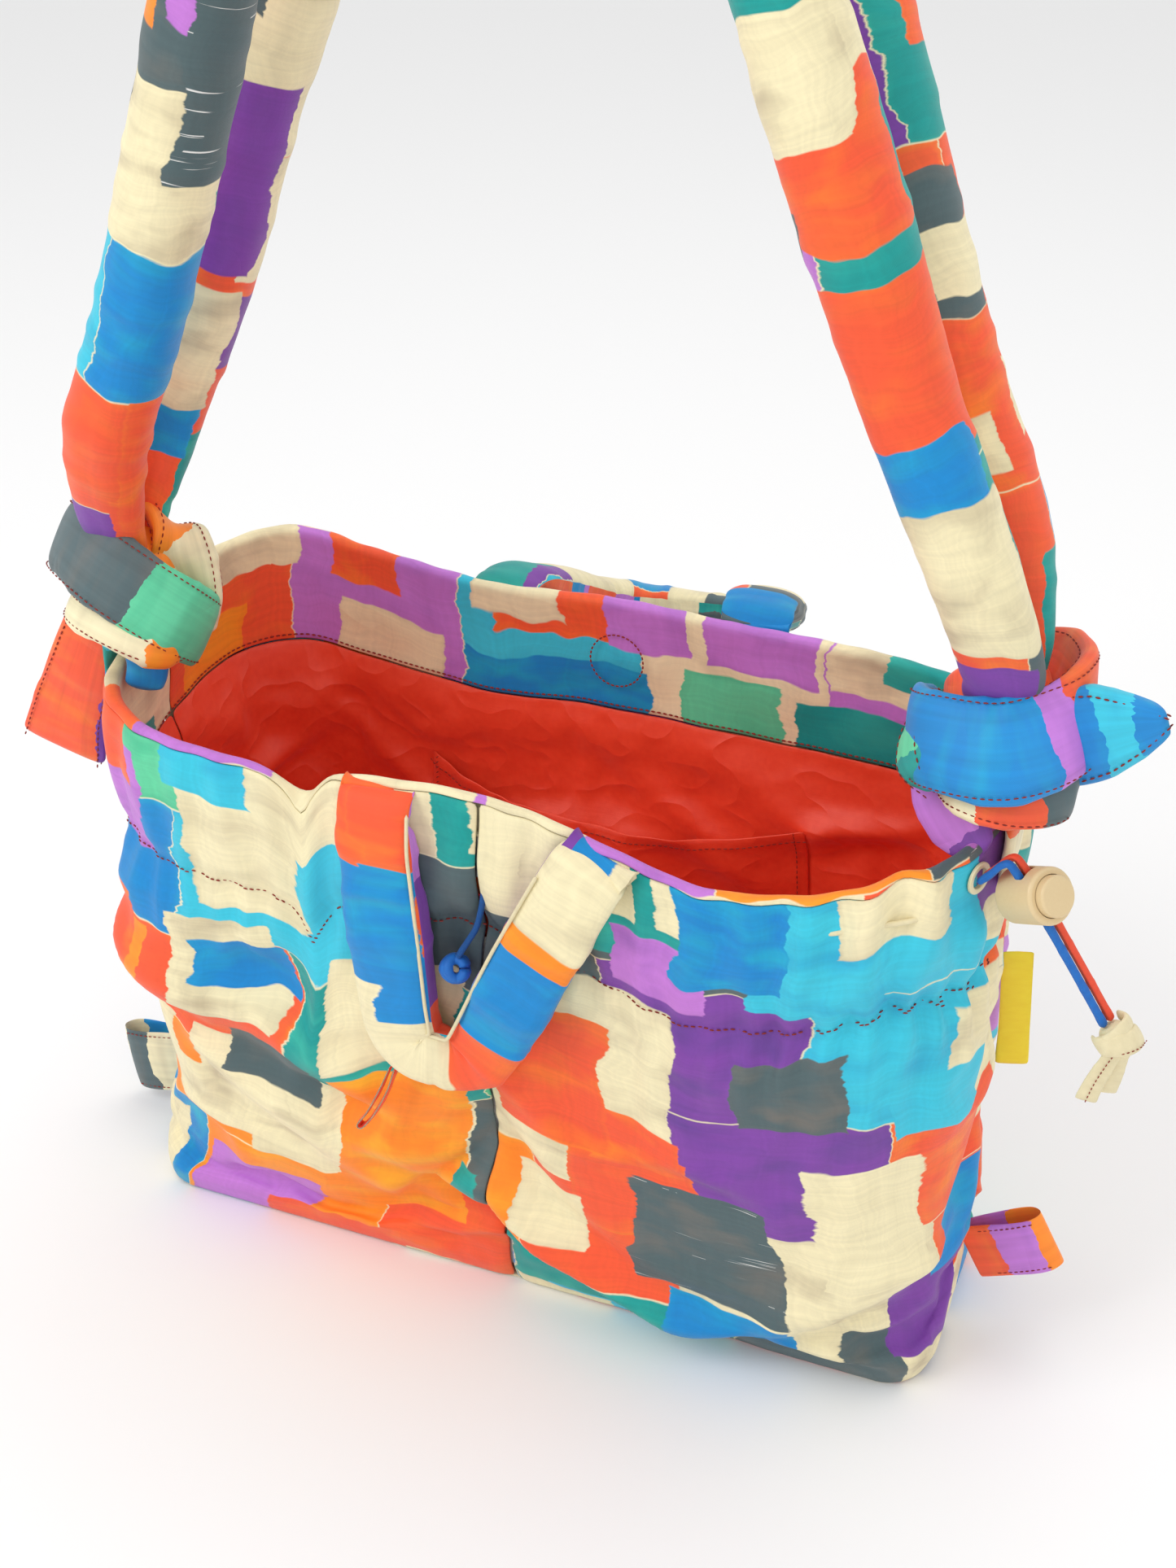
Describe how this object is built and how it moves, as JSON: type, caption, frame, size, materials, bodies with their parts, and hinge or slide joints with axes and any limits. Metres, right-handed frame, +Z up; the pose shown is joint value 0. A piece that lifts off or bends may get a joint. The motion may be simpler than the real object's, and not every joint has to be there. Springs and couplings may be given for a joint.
{
  "type": "drawstring tote bag",
  "caption": "Soft printed drawstring tote bag with lining, padded shoulder straps knotted at the sides, padded grab handles and a cord lock.",
  "frame": {"origin": "middle of the base, on the surface that the bag stands on", "axes": "+Z up, +X along the bag's length, front of the bag towards -Y"},
  "size_m": [0.5067, 0.2973, 0.7294],
  "materials": {
    "print_fabric": "printed plain-weave nylon, soft sheen",
    "lining_fabric": "red plain-weave lining, slight sheen",
    "wadding": "white polyester wadding",
    "filling": "white fibre filling",
    "board": "stiff base sheet",
    "cord_fabric": "narrow folded fabric cord",
    "cream_fabric": "cream fabric with contrast stitching",
    "snap_steel": "plated magnetic snap",
    "eyelet_enamel": "cream enamelled eyelet",
    "lock_plastic": "beige moulded plastic, fine texture",
    "spring_steel": "spring wire",
    "label_fabric": "plain yellow woven tab"
  },
  "bodies": {
    "bag": {"front_left_panel": "print_fabric", "front_right_panel": "print_fabric", "back_panel": "print_fabric", "base_panel": "print_fabric", "front_facing": "print_fabric", "back_facing": "print_fabric", "front_wadding": "wadding", "back_wadding": "wadding", "base_board": "board", "base_lining": "lining_fabric", "front_lining": "lining_fabric", "back_lining": "lining_fabric", "inner_pocket": "lining_fabric", "snap_stud": "snap_steel", "snap_socket": "snap_steel", "eyelet": "eyelet_enamel", "eyelet_washer": "eyelet_enamel", "drawcord": "cord_fabric", "left_tab": "print_fabric", "right_tab": "print_fabric", "left_knot": "print_fabric", "right_knot": "print_fabric", "left_tail": "print_fabric", "right_tail": "print_fabric", "side_label": "label_fabric"},
    "front_strap": {"front_strap_cover": "print_fabric", "front_strap_filling": "filling"},
    "rear_strap": {"rear_strap_cover": "print_fabric", "rear_strap_filling": "filling"},
    "front_handle": {"front_handle_cover": "print_fabric", "front_handle_filling": "filling", "button_loop": "cream_fabric"},
    "rear_handle": {"rear_handle_cover": "print_fabric", "rear_handle_filling": "filling"},
    "closure": {"closure_cord": "cord_fabric", "knot_button": "cord_fabric"},
    "cord_ends": {"front_strand": "cord_fabric", "rear_strand": "cord_fabric", "end_knot": "cream_fabric"},
    "cord_lock": {"lock_body": "lock_plastic", "lock_spring": "spring_steel"},
    "plunger": {"lock_plunger": "lock_plastic"},
    "left_loop": {"left_loop": "print_fabric"},
    "right_loop": {"right_loop": "print_fabric"}
  },
  "joints": [
    {"name": "front_strap_swing", "type": "hinge", "parent": "bag", "child": "front_strap", "pos_m": [0, -0.039, 0.31], "axis": [1, 0, 0], "range_deg": [0, 100]},
    {"name": "rear_strap_swing", "type": "hinge", "parent": "bag", "child": "rear_strap", "pos_m": [0, -0.001, 0.31], "axis": [1, 0, 0], "range_deg": [-82, 0]},
    {"name": "front_handle_swing", "type": "hinge", "parent": "bag", "child": "front_handle", "pos_m": [0, -0.088, 0.27299], "axis": [1, 0, 0], "range_deg": [-175, 0]},
    {"name": "rear_handle_swing", "type": "hinge", "parent": "bag", "child": "rear_handle", "pos_m": [0, 0.088, 0.30301], "axis": [1, 0, 0], "range_deg": [-62, 118]},
    {"name": "closure_swing", "type": "hinge", "parent": "bag", "child": "closure", "pos_m": [0.002, -0.0809, 0.233], "axis": [1, 0, 0], "range_deg": [-75, 0]},
    {"name": "cord_ends_swing", "type": "hinge", "parent": "bag", "child": "cord_ends", "pos_m": [0.1913, -0.0458, 0.2635], "axis": [0, 1, 0], "range_deg": [-18, 20]},
    {"name": "cord_lock_slide", "type": "slide", "parent": "cord_ends", "child": "cord_lock", "axis": [0.5387, 0, -0.8425], "range_m": [0, 0.047]},
    {"name": "plunger_press", "type": "slide", "parent": "cord_lock", "child": "plunger", "axis": [0.7214, -0.5166, 0.4612], "range_m": [-0.003, 0], "stiffness_N_per_m": 400, "springref_m": 0.003, "deforming": ["lock_spring"]},
    {"name": "left_loop_swing", "type": "hinge", "parent": "bag", "child": "left_loop", "pos_m": [-0.1981, 0, 0.03], "axis": [0, 0, 1], "range_deg": [-20, 20]},
    {"name": "right_loop_swing", "type": "hinge", "parent": "bag", "child": "right_loop", "pos_m": [0.1981, 0, 0.039], "axis": [0, 0, 1], "range_deg": [-20, 20]}
  ]
}
